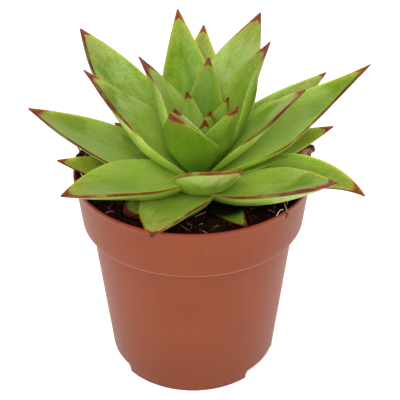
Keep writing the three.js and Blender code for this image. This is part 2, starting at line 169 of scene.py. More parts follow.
# Shape that every leaf shares, as in the frame's leaves.
LEAF_SEAT_RADIUS = 5
LEAF_START = 2
WIDEST_AT = 0.42
BASE_WIDTH = 0.5
TIP_POWER = 1.4
THICKNESS = 0.09
THICKEST_AT = 0.35
BASE_THICKNESS = 0.55
THIN_POWER = 1.25
KEEL_POWER = 2.2
FLANK_POWER = 0.7
HOLLOW = 0.18
LEAF_RING = 44
LEAF_STATIONS = 48
STATION_POWER = 1.25
MIDRIB_STEPS = 400
LEAF_SMOOTH_ANGLE = 50
NEEDLE_ROUNDING = 0.35
NEEDLE_POINT = 0.4
NEEDLE_LENGTH = 5
SURFACE_SWAY = 0.5
STRIPE_FADE_POWER = 1.6

# turn: direction seen from above.  rise: slope at the stem.  seat: height there.  bend: change of slope out
# to the tip, gathered near it by bend_power.  drift: change of direction.  twist: roll about the midrib.
# plump: how much thicker than usual.  blunt: a higher power than usual rounds the tip off.
# yellow, pale: how far the green leans that way; below zero, pale deepens it instead.  base: how pale the
# leaf's foot is; below zero, how dark its foot is painted, as shade from the leaves above.  belly: how pale
# the underside is near the margin.
# red: strength of the stripe under the left and right margin, as seen from the stem; above 0.7 it spreads
# over the margin.  reach: how far it runs from the tip, as a share of the leaf.
# cap: length of the coloured tip.  plum: how purple that tip is.
LEAVES = (
    dict(turn=-139, rise=6, length=38, width=16, seat=87, plump=1.6, blunt=4, yellow=0.9, base=-0.4,
         red=(0.9, 0.9), reach=0.9, plum=0),
    dict(turn=-67, rise=3, length=40, width=17, seat=88, bend=8, drift=6, twist=-5, yellow=0.2,
         base=-1, red=(0.9, 0.9), reach=0.9, cap=5, plum=0),
    dict(turn=62, rise=12, length=54, width=26, seat=90),
    dict(turn=116, rise=12, length=56, width=26, seat=90),
    dict(turn=180.7, rise=15.8, length=60, width=24, seat=85.5, bend=-3, drift=-3, twist=-5, blunt=1.7,
         yellow=0.8, belly=0.8, red=(0.9, 0.5), reach=0.8, cap=5),
    dict(turn=-110, rise=16, length=59.5, width=31, seat=89, bend=-10, drift=4.5, twist=15, blunt=1.65,
         yellow=0.7, pale=0.4, belly=0.9, red=(0.9, 0.9), reach=0.85, cap=7),
    dict(turn=11.5, rise=18.3, length=59.3, width=20, seat=92, drift=1, twist=8, blunt=1.6, yellow=0.8,
         red=(0.3, 0.4)),
    dict(turn=40, rise=14, length=56, width=26, seat=91),
    dict(turn=144, rise=16, length=45, width=24, seat=92),
    dict(turn=90, rise=20, length=60, width=28, seat=92),
    dict(turn=-18.5, rise=23.7, length=74, width=30, seat=87, bend=-52, bend_power=3, drift=-10.5, twist=7,
         yellow=0.4, pale=0.2, base=0, red=(0.5, 0.9), cap=8, plum=0),
    dict(turn=169.7, rise=21.8, length=79, width=32.5, seat=88.5, bend=-0.5, drift=-6, twist=4.5, plump=0.7,
         blunt=1.9, yellow=0.6, pale=0.5, belly=0.9, red=(1.2, 0.4), reach=0.8, cap=9, plum=0.1),
    dict(turn=70, rise=28, length=62, width=28, seat=94),
    dict(turn=122, rise=24, length=58, width=28, seat=94),
    dict(turn=32, rise=28, length=71.5, width=26.5, seat=94, bend=-4.7, drift=1, twist=-1, blunt=1.5,
         yellow=0.6, pale=0.9, base=1, red=(0.3, 0.3), cap=4),
    dict(turn=-143.5, rise=14.5, length=67, width=31.5, seat=95.5, bend=-6.5, drift=1, twist=1, plump=1.25,
         blunt=1.65, yellow=0.4, belly=0.9, red=(0.9, 0.5), reach=0.95, cap=7, plum=0.1),
    dict(turn=90.5, rise=37.7, length=72, width=29, seat=95, bend=-3, drift=-6, twist=5, blunt=1.2,
         yellow=0.8, pale=0.5, red=(0.4, 0.4), cap=5),
    dict(turn=-43.5, rise=19.5, length=77.5, width=33, seat=90, bend=12, drift=-4, blunt=1.5, yellow=0.2,
         pale=0.7, base=1, belly=0.6, red=(0.4, 1.2), reach=0.85, cap=9, plum=0.2),
    dict(turn=11, rise=27.7, length=83.7, width=35, seat=96, bend=7.4, drift=4.5, twist=5.6, plump=0.95,
         blunt=0.9, yellow=0.2, base=0.9, red=(0.4, 1.2), reach=0.85, cap=8),
    dict(turn=150, rise=39, length=79, width=33, seat=95, bend=9, drift=-7, twist=3, blunt=1.9, yellow=0.2,
         pale=0.6, base=1, red=(1.3, 0.4), reach=0.75, cap=5),
    dict(turn=60, rise=53.2, length=71, width=32.5, seat=98, bend=-6, drift=-8, twist=-5, blunt=1.5,
         yellow=0.4, pale=0.7, base=0.3, red=(0.9, 0.8), reach=0.6, plum=0.9),
    dict(turn=102.5, rise=50.4, length=69.5, width=26.5, seat=98, bend=2.5, drift=-2.5, twist=3, blunt=1.25,
         yellow=0.1, pale=0, base=0.2, red=(0.6, 0.5)),
    dict(turn=180.2, rise=47.9, length=66, width=30.8, seat=96, bend=2, drift=2.8, twist=-6.6, plump=1.2,
         blunt=1, pale=1, base=1, red=(1.7, 0.5), reach=0.56, cap=9, plum=0.4),
    dict(turn=-85, rise=42, length=59, width=29.5, seat=88, bend=-9, drift=29, twist=-12, yellow=0.4,
         pale=1.1, base=0.9, belly=0.9, red=(0.8, 0.8), reach=1, cap=4),
    dict(turn=-13.9, rise=48.6, length=59.8, width=29, seat=97, bend=-2, drift=-2.7, twist=1, plump=0.6,
         blunt=1.7, yellow=0.2, pale=1, base=1, red=(0.4, 1.9), reach=0.6, cap=7, plum=0.2),
    dict(turn=154, rise=69, length=50, width=30, seat=102, bend=-15.5, drift=9, twist=19, plump=1.25,
         pale=0.6, base=0.9, red=(0.4, 0.3), reach=0.4, cap=11, plum=0.6),
    dict(turn=35.5, rise=60.3, length=56.5, width=31, seat=102, bend=-9, drift=-9, twist=-20, plump=1.45,
         blunt=1.25, pale=0.1, base=0.4, red=(0.5, 0.6), reach=0.3, cap=8, plum=0.5),
    dict(turn=78, rise=65, length=41, width=17, seat=103, bend=2, drift=2, pale=-0.4, base=0, red=(0.4, 0.4),
         reach=0.3, cap=4),
    dict(turn=-106.2, rise=59.5, length=51.3, width=26.5, seat=100, bend=-12.3, drift=-8, twist=-10,
         plump=1.4, blunt=1.1, yellow=0, pale=-0.7, base=0.2, belly=0.1, red=(0.1, 0.9), reach=0.25, cap=9,
         plum=0.4),
    dict(turn=-55.4, rise=63.3, length=43.2, width=16.8, seat=102, bend=-9.7, drift=1.5, twist=-7.3,
         plump=1.2, blunt=1, yellow=0.1, pale=-0.2, red=(0.2, 0.2), reach=0.15, cap=7, plum=0.6),
    dict(turn=-116.3, rise=61.7, length=38.3, width=18.5, seat=104, bend=-1.3, drift=2, twist=-4.3,
         blunt=1.5, pale=1, red=(0.2, 0.2), reach=0.12, cap=4),
    dict(turn=124, rise=80, length=25, width=13, seat=106, bend=-1, drift=3, twist=6, pale=0.4,
         red=(0.2, 0.2), reach=0.15, cap=3.5, plum=0),
    dict(turn=21, rise=70, length=25, width=14, seat=106, base=0, red=(0.2, 0.2), reach=0.15, cap=4,
         plum=0.2),
    dict(turn=-71, rise=82.8, length=14.6, width=7, seat=110, red=(0.1, 0.1), reach=0.2, cap=4.5, plum=0),
    dict(turn=44, rise=82, length=12, width=7, seat=111, red=(0.1, 0.1), reach=0.2, cap=3.5, plum=0),
)
LEAF_DEFAULTS = dict(bend=0, bend_power=1.4, drift=0, twist=0, plump=1, blunt=None, yellow=0.3, pale=0.3,
                     base=0.5, belly=0.3, red=(0.5, 0.5), reach=0.5, cap=6, plum=0.3)


# ---------------- materials
def paint(red, green, blue):
    """A colour given as on a screen, 0 to 255, as the shader's own light values."""
    def light(share):
        return share / 12.92 if share <= 0.04045 else ((share + 0.055) / 1.055) ** 2.4
    return tuple(light(part / 255) for part in (red, green, blue)) + (1,)


class Amount:
    """A number or colour on its way through a material; sums and products of it add their Math nodes."""

    def __init__(self, finish, socket):
        self.finish = finish
        self.socket = socket

    def maths(self, operation, *parts):
        return self.finish.node("ShaderNodeMath", {"operation": operation}, dict(enumerate(parts)))

    def __add__(self, other):
        return self.maths("ADD", self, other)

    def __sub__(self, other):
        return self.maths("SUBTRACT", self, other)

    def __rsub__(self, other):
        return self.maths("SUBTRACT", other, self)

    def __mul__(self, other):
        return self.maths("MULTIPLY", self, other)

    def __truediv__(self, other):
        return self.maths("DIVIDE", self, other)

    def __rtruediv__(self, other):
        return self.maths("DIVIDE", other, self)

    def __abs__(self):
        return self.maths("ABSOLUTE", self)

    __radd__ = __add__
    __rmul__ = __mul__

    def at_least(self, other):
        return self.maths("MAXIMUM", self, other)

    def at_most(self, other):
        return self.maths("MINIMUM", self, other)


class Finish:
    """A procedural material for one kind of surface, built up node by node."""

    def __init__(self, name, constants):
        self.material = bpy.data.materials.new(name)
        self.material.use_nodes = True
        self.tree = self.material.node_tree
        self.shader = self.tree.nodes["Principled BSDF"]
        for socket, value in constants.items():
            self.shader.inputs[socket].default_value = value

    def node(self, kind, settings=(), values=(), result=0):
        """Adds a node. Settings come first; values are the numbers or links of its sockets."""
        made = self.tree.nodes.new(kind)
        for name, value in dict(settings).items():
            if name == "stops":
                self.set_stops(made.color_ramp, value)
            else:
                setattr(made, name, value)
        for key, value in dict(values).items():
            socket = self.socket(made.inputs, key)
            if isinstance(value, Amount):
                self.tree.links.new(value.socket, socket)
            else:
                socket.default_value = value
        return Amount(self, self.socket(made.outputs, result))

    @staticmethod
    def socket(sockets, key):
        if isinstance(key, int):
            return sockets[key]
        return next(socket for socket in sockets if key in (socket.identifier, socket.name))

    @staticmethod
    def set_stops(ramp, stops):
        while len(ramp.elements) < len(stops):
            ramp.elements.new(1)
        for element, (place, colour) in zip(ramp.elements, stops):
            element.position = place
            element.color = colour

    def place(self):
        """Where a point is on the object, in millimetres."""
        spot = self.node("ShaderNodeTexCoord", result="Object")
        return self.stretch(spot, (1 / MM, 1 / MM, 1 / MM))

    def stretch(self, where, factors):
        return self.node("ShaderNodeVectorMath", {"operation": "MULTIPLY"}, {0: where, 1: factors})

    def attribute(self, name, result="Fac"):
        return self.node("ShaderNodeAttribute", {"attribute_name": name}, result=result)

    def split(self, vector):
        parts = self.node("ShaderNodeSeparateXYZ", values={0: vector}).socket.node
        return [Amount(self, socket) for socket in parts.outputs]

    def mottle(self, where, size, detail=2, roughness=0.5):
        """Cloudy noise from 0 to 1, whose patches are about size millimetres across."""
        values = {"Vector": where, "Scale": 1 / size, "Detail": detail, "Roughness": roughness}
        return self.node("ShaderNodeTexNoise", values=values, result="Fac")

    def dots(self, where, size):
        """Distance to the nearest of many scattered points, in shares of their spacing."""
        values = {"Vector": where, "Scale": 1 / size}
        return self.node("ShaderNodeTexVoronoi", values=values, result="Distance")

    def fade(self, amount, start, end):
        """0 at start, 1 at end, smooth between them; start may be the larger."""
        values = {"Value": amount, "From Min": start, "From Max": end}
        return self.node("ShaderNodeMapRange", {"interpolation_type": "SMOOTHSTEP"}, values)

    def blend(self, share, first, second, kind="MIX"):
        settings = {"data_type": "RGBA", "blend_type": kind}
        values = {"Factor_Float": share, "A_Color": first, "B_Color": second}
        return self.node("ShaderNodeMix", settings, values, "Result_Color")

    def ramp(self, amount, *stops):
        return self.node("ShaderNodeValToRGB", {"stops": stops}, {"Fac": amount}, "Color")

    def relief(self, height, depth, over=None):
        """A bump that stands depth millimetres high where the height is 1."""
        values = {"Height": height, "Distance": depth * MM, "Strength": 1}
        if over is not None:
            values["Normal"] = over
        return self.node("ShaderNodeBump", values=values)

    def use(self, **sockets):
        """Links finished amounts to the shader: use(base_color=..., roughness=..., normal=...)."""
        for name, amount in sockets.items():
            self.tree.links.new(amount.socket, self.shader.inputs[name.replace("_", " ").title()])
        return self.material


DEEP_GREEN = paint(102, 140, 4)
FRESH_GREEN = paint(138, 172, 54)
SHADE_GREEN = paint(76, 114, 2)
YELLOW_GREEN = paint(162, 172, 54)
PALE_GREEN = paint(178, 196, 122)
BASE_GREEN = paint(186, 212, 90)
RIPE_BEIGE = paint(150, 130, 62)
UNDER_GREEN = paint(98, 136, 10)
UNDER_PALE = paint(182, 194, 100)
MARGIN_PALE = paint(204, 208, 124)
MARGIN_BEIGE = paint(146, 112, 62)
STRIPE_OLIVE = paint(150, 136, 36)
STRIPE_ORANGE = paint(134, 92, 18)
STRIPE_BROWN = paint(104, 54, 8)
STRIPE_DARK = paint(86, 30, 8)
TIP_ORANGE = paint(148, 92, 46)
TIP_BROWN = paint(112, 40, 22)
TIP_PLUM = paint(104, 34, 38)
NEEDLE_BROWN = paint(58, 18, 16)
PAINTED_SHADE_DARK = paint(14, 14, 4)
WAX_DULL = paint(218, 226, 200)
WAX_CLEAR = paint(255, 255, 250)

TERRACOTTA_DEEP = paint(116, 51, 21)
TERRACOTTA_LIGHT = paint(124, 57, 26)
TERRACOTTA_FOOT_SHADE = paint(90, 36, 12)
TERRACOTTA_LIP = paint(130, 40, 20)
TERRACOTTA_SHADE = paint(96, 34, 18)
PLASTIC_DUST = paint(180, 130, 108)
PLASTIC_HIGHLIGHT = paint(176, 116, 92)

PEAT_BLACK = paint(8, 4, 3)
PEAT_BROWN = paint(34, 14, 8)
PEAT_RED = paint(86, 38, 22)
PEAT_FIBRE = paint(104, 70, 46)

ROOT_DARK = paint(34, 20, 15)
ROOT_TAN = paint(138, 88, 58)
ROOT_CREAM = paint(206, 176, 146)
ROOT_WHITE = paint(238, 228, 214)
ROOT_STAIN = paint(90, 58, 38)

BARK_DARK = paint(50, 26, 20)
BARK_TAN = paint(140, 88, 66)
BARK_PINK = paint(206, 160, 138)
BARK_BLACK = paint(24, 10, 10)

STEM_GREEN = paint(120, 138, 58)
STEM_CORK = paint(104, 78, 52)
STEM_SCAR = paint(60, 44, 30)

PAPER_WHITE = paint(254, 254, 254)
PAPER_TOOTH = paint(250, 250, 250)


def leaf_finish():
    """Waxy leaf skin: mottled green, a pale thin margin, a red stripe just under it and a dark red tip."""
    skin = Finish("leaf_skin", {"Subsurface Weight": 0.55, "Subsurface Radius": (3, 4, 1.2),
                                "Subsurface Scale": MM, "Specular IOR Level": 0.22, "IOR": 1.42})
    grain = skin.attribute("grain", "Vector")
    edge = skin.attribute("edge")
    tip = skin.attribute("tip")
    cap = skin.attribute("cap")
    plum = skin.attribute("plum")
    base = skin.attribute("base")
    belly = skin.attribute("belly")
    yellow, pale, blush = skin.split(skin.attribute("tone", "Vector"))
    from_stem = skin.split(grain)[0]
    along = from_stem / (from_stem + tip)
    below = edge * -1

    clouds = skin.mottle(grain, 14, detail=3)
    streaks = skin.mottle(skin.stretch(grain, (0.22, 1, 1)), 3.2, detail=3)
    speckle = skin.mottle(grain, 0.7)
    spots = skin.dots(grain, 1.9)

    flesh = skin.blend(skin.fade(clouds * 0.75 + streaks * 0.25, 0.34, 0.62), DEEP_GREEN, FRESH_GREEN)
    lean = yellow * 0.6 + skin.fade(streaks, 0.5, 0.75) * 0.15
    flesh = skin.blend(lean.at_most(1), flesh, YELLOW_GREEN)
    near_margin = skin.fade(abs(edge), 4.5, 0.3) * 0.3
    flesh = skin.blend(near_margin, flesh, YELLOW_GREEN)
    heart = skin.fade(edge, 3.5, 9) * skin.fade(clouds * 0.4 + streaks * 0.6, 0.35, 0.65) * 0.6
    flesh = skin.blend(heart, flesh, SHADE_GREEN)
    under_tone = skin.blend(skin.fade(below, 6, 1) * belly, UNDER_GREEN, UNDER_PALE)
    flesh = skin.blend(skin.fade(below, -0.05, 0.25) * 0.8, flesh, under_tone)
    # paler waxy bloom in cloudy patches, partly a painted sheen of light on the wax
    bloom_and_sheen = pale.at_least(0) * skin.fade(clouds * 0.6 + streaks * 0.4, 0.38, 0.62)
    flesh = skin.blend(bloom_and_sheen.at_most(1), flesh, PALE_GREEN)
    flesh = skin.blend((pale * -1).at_least(0), flesh, SHADE_GREEN)
    ripe = skin.fade(tip, 24, 5) * skin.fade(from_stem + tip, 40, 62) * 0.45
    flesh = skin.blend(ripe, flesh, RIPE_BEIGE)
    flesh = skin.blend(skin.fade(along, 0.75, 0.2) * base.at_least(0), flesh, BASE_GREEN)
    wax = skin.ramp(speckle, (0.35, WAX_DULL), (0.65, WAX_CLEAR))
    flesh = skin.blend(1, flesh, wax, "MULTIPLY")
    pale_specks = skin.fade(spots, 0.2, 0.08) * skin.fade(clouds, 0.48, 0.58) * 0.4
    flesh = skin.blend(pale_specks, flesh, PALE_GREEN)

    line = skin.fade(edge, 0.9, 0.4) * skin.fade(edge, -0.3, 0)
    line_tone = skin.blend(skin.fade(tip, cap * 5, cap * 1.5), MARGIN_PALE, MARGIN_BEIGE)
    colour = skin.blend(line * (blush * 0.35 + 0.15), flesh, line_tone)

    width = blush * 2.3 + 0.1 + (speckle - 0.5) * 0.6
    over = (blush - 0.7).at_least(0) * 4.2
    stripe = skin.fade(edge - over, 0.6, 0.1) * skin.fade(below, width + 0.6, width - 0.4)
    depth = blush + (streaks - 0.5) * 0.3
    stripe_tone = skin.ramp(depth, (0.1, STRIPE_OLIVE), (0.4, STRIPE_ORANGE), (0.65, STRIPE_BROWN),
                            (1, STRIPE_DARK))
    wear_and_highlight = skin.fade(streaks, 0.3, 0.55) * 0.35 + 0.65
    colour = skin.blend(stripe * skin.fade(blush, 0.05, 0.4) * wear_and_highlight, colour, stripe_tone)

    reach = tip - skin.fade(abs(edge), 2.2, 0.1) * cap * 0.35 + (streaks - 0.5) * 3 + (speckle - 0.5) * 1.5
    redness = skin.fade(reach, cap * 1.1, cap * 0.25)
    tip_tone = skin.blend(plum, TIP_BROWN, TIP_PLUM)
    tip_tone = skin.blend(skin.fade(redness, 0.2, 0.75), TIP_ORANGE, tip_tone)
    colour = skin.blend(skin.fade(redness, 0.05, 0.7), colour, tip_tone)
    needle = skin.fade(tip, 1.8, 0.5)
    colour = skin.blend(needle, colour, NEEDLE_BROWN)
    # painted shade: where base is below zero, the leaf's foot is darkened for the shadow of the leaves over
    # it
    painted_foot_shade = skin.fade(along, 0.8, 0.6) * (base * -1).at_least(0)
    colour = skin.blend(painted_foot_shade, colour, PAINTED_SHADE_DARK)

    ripple = skin.relief(clouds, 0.5)
    veins = skin.relief(streaks, 0.1, over=ripple)
    pores = skin.relief(speckle, 0.03, over=veins)
    gloss = 0.28 + streaks * 0.22 + needle * 0.2 + stripe * 0.25
    return skin.use(base_color=colour, roughness=gloss, normal=pores)


def pot_finish():
    """Satin terracotta-coloured plastic with faint upright draw marks and dust, a painted highlight along the
    ledge, painted shade under it and painted shade towards the foot.
    """
    plastic = Finish("terracotta_plastic", {"IOR": 1.5, "Specular IOR Level": 0.2})
    where = plastic.place()
    east, north, height = plastic.split(where)
    mean_radius = 45
    around = north.maths("ARCTAN2", north, east) * mean_radius
    unrolled = plastic.node("ShaderNodeCombineXYZ", values={0: around, 1: height * 0.04})
    drawn = plastic.mottle(unrolled, 2.5, detail=4, roughness=0.6)
    cloud = plastic.mottle(where, 22)
    grit = plastic.mottle(where, 0.5)
    dust = plastic.dots(where, 4.5)
    shade = drawn * 0.35 + cloud * 0.65
    colour = plastic.ramp(shade, (0.3, TERRACOTTA_DEEP), (0.7, TERRACOTTA_LIGHT))
    # painted shade: the colour darkens towards the foot, where less light falls on the pot
    colour = plastic.blend(plastic.fade(height, 45, 0) * 0.3, colour, TERRACOTTA_FOOT_SHADE)
    colour = plastic.blend(plastic.fade(dust, 0.09, 0.03) * 0.2, colour, PLASTIC_DUST)
    lip = plastic.fade(height, POT_HEIGHT - 1, POT_HEIGHT - 0.2)
    colour = plastic.blend(lip * 0.7, colour, TERRACOTTA_LIP)
    above_ledge = height - LEDGE_HEIGHT
    # painted highlight: a thin lighter line just above the ledge, where its edge catches the light
    wear_and_highlight = plastic.fade(abs(above_ledge - 0.35), 0.45, 0.15)
    colour = plastic.blend(wear_and_highlight * 0.5, colour, PLASTIC_HIGHLIGHT)
    shaded = plastic.fade(above_ledge, -5, -0.3) * plastic.fade(above_ledge, 0, -0.3)
    colour = plastic.blend(shaded * 0.25, colour, TERRACOTTA_SHADE)
    rough = 0.34 + cloud * 0.12 + drawn * 0.08
    marks = plastic.relief(drawn, 0.06)
    normal = plastic.relief(grit, 0.02, over=marks)
    return plastic.use(base_color=colour, roughness=rough, normal=normal)


def peat_finish():
    """Damp black peat with redder and paler crumbs in it."""
    peat = Finish("damp_peat", {"IOR": 1.35, "Specular IOR Level": 0.15})
    where = peat.place()
    clods = peat.mottle(where, 3.5, detail=5, roughness=0.65)
    grains = peat.mottle(where, 0.8, detail=3, roughness=0.6)
    colour = peat.ramp(clods, (0.38, PEAT_BLACK), (0.56, PEAT_BROWN), (0.72, PEAT_RED))
    colour = peat.blend(peat.fade(grains, 0.68, 0.78) * 0.5, colour, PEAT_FIBRE)
    normal = peat.relief(grains, 0.5)
    return peat.use(base_color=colour, roughness=0.75 + grains * 0.2, normal=normal)


def root_finish():
    """Dry root hairs and strands, from white through tan to dark brown."""
    root = Finish("dry_root", {"IOR": 1.4})
    shade = root.attribute("shade")
    patches = root.mottle(root.place(), 1.2, detail=3)
    colour = root.ramp(shade, (0, ROOT_DARK), (0.45, ROOT_TAN), (0.8, ROOT_CREAM), (1, ROOT_WHITE))
    colour = root.blend(root.fade(patches, 0.5, 0.75) * 0.5, colour, ROOT_STAIN)
    return root.use(base_color=colour, roughness=0.6 + patches * 0.2, normal=root.relief(patches, 0.1))


def bark_finish():
    """Broken pine bark: layered pinkish tan on its inside, nearly black on its weathered outside."""
    bark = Finish("pine_bark", {"IOR": 1.4})
    where = bark.place()
    layers = bark.mottle(bark.stretch(where, (1, 0.5, 0.35)), 1.2, detail=5, roughness=0.7)
    patches = bark.mottle(where, 3, detail=3)
    colour = bark.ramp(layers, (0.3, BARK_DARK), (0.5, BARK_TAN), (0.72, BARK_PINK))
    east, _, height = bark.split(where)
    weathered = bark.fade(height + east * 0.35 + patches * 4, 121, 123.5)
    colour = bark.blend(weathered * 0.95, colour, BARK_BLACK)
    return bark.use(base_color=colour, roughness=0.7 + patches * 0.2, normal=bark.relief(layers, 0.6))


def stem_finish():
    """Thick stem: green and scarred by old leaves above, browner and corky in the soil."""
    stem = Finish("stem_bark", {"IOR": 1.4})
    where = stem.place()
    height = stem.split(where)[2]
    scars = stem.mottle(stem.stretch(where, (1, 1, 2.5)), 2.5, detail=4)
    corky = stem.fade(height + scars * 8, 104, 92)
    colour = stem.blend(corky, STEM_GREEN, STEM_CORK)
    colour = stem.blend(stem.fade(scars, 0.55, 0.7) * 0.5, colour, STEM_SCAR)
    return stem.use(base_color=colour, roughness=0.6 + scars * 0.25, normal=stem.relief(scars, 0.5))


def floor_finish():
    """Matt white studio paper, lit through from below as on a light table."""
    paper = Finish("studio_paper", {"Specular IOR Level": 0.2, "Emission Color": (1, 1, 1, 1),
                                    "Emission Strength": 0.4})
    tooth = paper.mottle(paper.place(), 1.5)
    colour = paper.ramp(tooth, (0, PAPER_TOOTH), (1, PAPER_WHITE))
    return paper.use(base_color=colour, roughness=0.85 + tooth * 0.05, normal=paper.relief(tooth, 0.01))


# ---------------- modelling helpers
def start_clean():
    """Leaves edit mode and lets go of everything, so that the next operator meets only its own piece."""
    if bpy.context.mode != "OBJECT":
        bpy.ops.object.mode_set(mode="OBJECT")
    bpy.ops.object.select_all(action="DESELECT")


def newest(name):
    """The piece that the last operator made, under its own name."""
    piece = bpy.context.active_object
    piece.name = piece.data.name = name
    return piece


def hold(*pieces):
    """Selects these pieces alone; the first one is the one that operators work on."""
    start_clean()
    for piece in pieces:
        piece.select_set(True)
    bpy.context.view_layer.objects.active = pieces[0]


def smooth(piece, sharpest=None):
    """Shades a piece smoothly: all over, or only where its faces meet at less than that many degrees."""
    hold(piece)
    if sharpest is None:
        bpy.ops.object.shade_smooth()
    else:
        bpy.ops.object.shade_smooth_by_angle(angle=math.radians(sharpest))


def join_pieces(name, parts):
    hold(*parts)
    bpy.ops.object.join()
    whole = newest(name)
    smooth(whole)
    return whole


def coordinates(piece):
    spots = np.empty(len(piece.data.vertices) * 3, np.float32)
    piece.data.vertices.foreach_get("co", spots)
    return spots.reshape(-1, 3).astype(float)


def place_all(piece, spots):
    piece.data.vertices.foreach_set("co", np.asarray(spots, np.float32).ravel())
    piece.data.update()


def store(piece, name, values):
    """Writes one number, or one vector, for each vertex."""
    values = np.asarray(values, np.float32)
    kind, key = ("FLOAT", "value") if values.ndim == 1 else ("FLOAT_VECTOR", "vector")
    piece.data.attributes.new(name, kind, "POINT").data.foreach_set(key, values.ravel())


def apply_modifier(piece, kind, **settings):
    hold(piece)
    modifier = piece.modifiers.new(kind.title(), kind)
    for name, value in settings.items():
        setattr(modifier, name, value)
    bpy.ops.object.modifier_apply(modifier=modifier.name)


def settle(piece, material, slot, *nodes):
    """Finishes a piece: millimetres become metres, it gets its material and its body, and the model's parts
    that it stands for are hidden.
    """
    start_clean()
    piece.data.transform(Matrix.Scale(MM, 4) @ piece.matrix_world)
    piece.matrix_world = Matrix.Identity(4)
    piece.data.materials.clear()
    piece.data.materials.append(material)
    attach(piece, "root")
    if nodes:
        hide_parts(*nodes)
    return piece


def fill_ring():
    """Opens the new ring in edit mode and closes it with a face, ready to be pulled out."""
    bpy.ops.object.mode_set(mode="EDIT")
    bpy.ops.mesh.select_all(action="SELECT")
    bpy.ops.mesh.edge_face_add()
    bpy.ops.mesh.select_mode(type="EDGE")


def pull(step, factors, centre=(0, 0, 0)):
    """Extrudes what is selected by that step, then scales its far end about the centre."""
    bpy.ops.mesh.extrude_region_move(TRANSFORM_OT_translate={"value": step})
    bpy.ops.transform.resize(value=factors, center_override=centre)


def face_outwards():
    """Turns every face of the piece in edit mode outwards, and leaves edit mode."""
    bpy.ops.mesh.select_all(action="SELECT")
    bpy.ops.mesh.normals_make_consistent(inside=False)
    bpy.ops.object.mode_set(mode="OBJECT")


def draw_round(name, outline, sides):
    """A closed round piece: a filled ring is pulled along the outline of (radius, height)."""
    start_clean()
    radius, height = outline[0]
    bpy.ops.mesh.primitive_circle_add(vertices=sides, radius=radius, location=(0, 0, height))
    piece = newest(name)
    bpy.ops.object.transform_apply(location=True)
    fill_ring()
    for new_radius, new_height in outline[1:]:
        share = new_radius / radius
        pull((0, 0, new_height - height), (share, share, 1))
        radius, height = new_radius, new_height
    face_outwards()
    return piece


def rounded(corners, steps=4):
    """An outline of (radius, height, rounding) corners, with each rounded corner as a short curve."""
    outline = []
    for k, (x, y, rounding) in enumerate(corners):
        corner = Vector((x, y))
        if not rounding:
            outline.append((x, y))
            continue
        before = (Vector(corners[k - 1][:2]) - corner).normalized() * rounding
        after = (Vector(corners[(k + 1) % len(corners)][:2]) - corner).normalized() * rounding
        for step in range(steps + 1):
            share = step / steps
            spot = corner + before * (1 - share) ** 2 + after * share ** 2
            outline.append((spot.x, spot.y))
    return outline


def spread(start, end, count):
    """Evenly spaced steps from start to end, both included."""
    return [start + (end - start) * k / (count - 1) for k in range(count)]


# ---------------- pot
def body_radius(height):
    """The tapered body's outside, from the foot up to the ledge under the band."""
    return FOOT_RADIUS + (BODY_TOP_RADIUS - FOOT_RADIUS) * height / LEDGE_HEIGHT


def band_radius(height):
    """The rim band's outside, from the ledge up to the lip."""
    share = (height - LEDGE_HEIGHT) / BAND_HEIGHT
    return BAND_FOOT_RADIUS + (LIP_RADIUS - LIP_ROLL / 2 - BAND_FOOT_RADIUS) * share


def pot_outline():
    """Underside, foot, body, band, lip, and back down the inside."""
    lip_foot = POT_HEIGHT - LIP_DEPTH
    inside_ledge = LEDGE_HEIGHT + WALL
    shelf = CHANNEL_HEIGHT + WALL
    return rounded([
        (1, 0, 0),
        (FLOOR_DISC_RADIUS, 0, 0.8),
        (CHANNEL_RADIUS, CHANNEL_HEIGHT, 0.8),
        (FOOT_RADIUS - WALL, CHANNEL_HEIGHT, 0.6),
        (FOOT_RADIUS - WALL, 0, 0.4),
        (FOOT_RADIUS, 0, 0.4),
        *((body_radius(height), height, 0) for height in spread(8, LEDGE_HEIGHT - 6, 8)),
        (body_radius(LEDGE_HEIGHT), LEDGE_HEIGHT, 0.5),
        (BAND_FOOT_RADIUS, LEDGE_HEIGHT, 0.7),
        *((band_radius(height), height, 0) for height in spread(LEDGE_HEIGHT + 4, lip_foot - 2, 4)),
        (band_radius(lip_foot), lip_foot, 0.5),
        (LIP_RADIUS, lip_foot + 0.8, 0.4),
        (LIP_RADIUS, POT_HEIGHT, 0.7),
        (LIP_RADIUS - WALL, POT_HEIGHT, 0.5),
        (band_radius(POT_HEIGHT - 3) - WALL, POT_HEIGHT - 3, 0),
        (band_radius(inside_ledge) - WALL, inside_ledge, 0.6),
        (body_radius(inside_ledge) - WALL, inside_ledge, 0.6),
        (body_radius(shelf) - WALL, shelf, 0.8),
        (CHANNEL_RADIUS, shelf, 0.8),
        (FLOOR_DISC_RADIUS, WALL, 0.8),
        (1, WALL, 0),
    ])


def cut_out(piece, cutter):
    apply_modifier(piece, "BOOLEAN", operation="DIFFERENCE", solver="MANIFOLD", object=cutter)
    bpy.data.objects.remove(cutter)


def cut_notch(pot, turn):
    """A rounded gap in the foot ring, where the channel under the floor drains."""
    start_clean()
    wide = 2 * FOOT_RADIUS * math.sin(math.radians(NOTCH_SPAN / 2))
    size = (CUTTER_DEPTH, wide, 2 * NOTCH_HEIGHT)
    bpy.ops.mesh.primitive_cube_add(size=1, scale=size, location=(FOOT_RADIUS, 0, 0))
    cutter = newest("notch_cutter")
    bpy.ops.object.transform_apply()
    apply_modifier(cutter, "BEVEL", width=NOTCH_ROUNDING, segments=4)
    cutter.data.transform(Matrix.Rotation(math.radians(turn), 4, "Z"))
    cut_out(pot, cutter)


